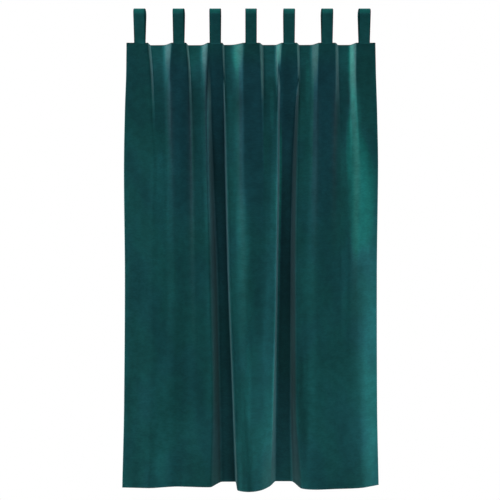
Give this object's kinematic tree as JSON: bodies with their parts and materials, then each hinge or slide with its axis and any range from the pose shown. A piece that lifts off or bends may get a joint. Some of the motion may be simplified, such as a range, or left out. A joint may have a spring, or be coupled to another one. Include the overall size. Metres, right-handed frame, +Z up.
{
  "type": "tab-top velvet curtain panel",
  "caption": "Velvet curtain panel with fabric loops for a rod, hanging in soft folds that gather into one broad middle fold between two deep valleys.",
  "frame": {"origin": "on the axis of the rod that the loops pass over, above the middle of the heading", "axes": "+X along the rod to the right as seen from the room, -Y is the front that faces the room, +Z up"},
  "size_m": [1.2146, 0.1322, 2.2504],
  "materials": {
    "velvet": "deep teal velvet, short dense pile with a soft bright sheen where it turns away",
    "velvet_loop": "the same teal velvet, folded into flat loops"
  },
  "bodies": {
    "root": {"curtain_panel": "velvet", "tab_1": "velvet_loop", "tab_2": "velvet_loop", "tab_3": "velvet_loop", "tab_4": "velvet_loop", "tab_5": "velvet_loop", "tab_6": "velvet_loop", "tab_7": "velvet_loop"}
  },
  "joints": []
}
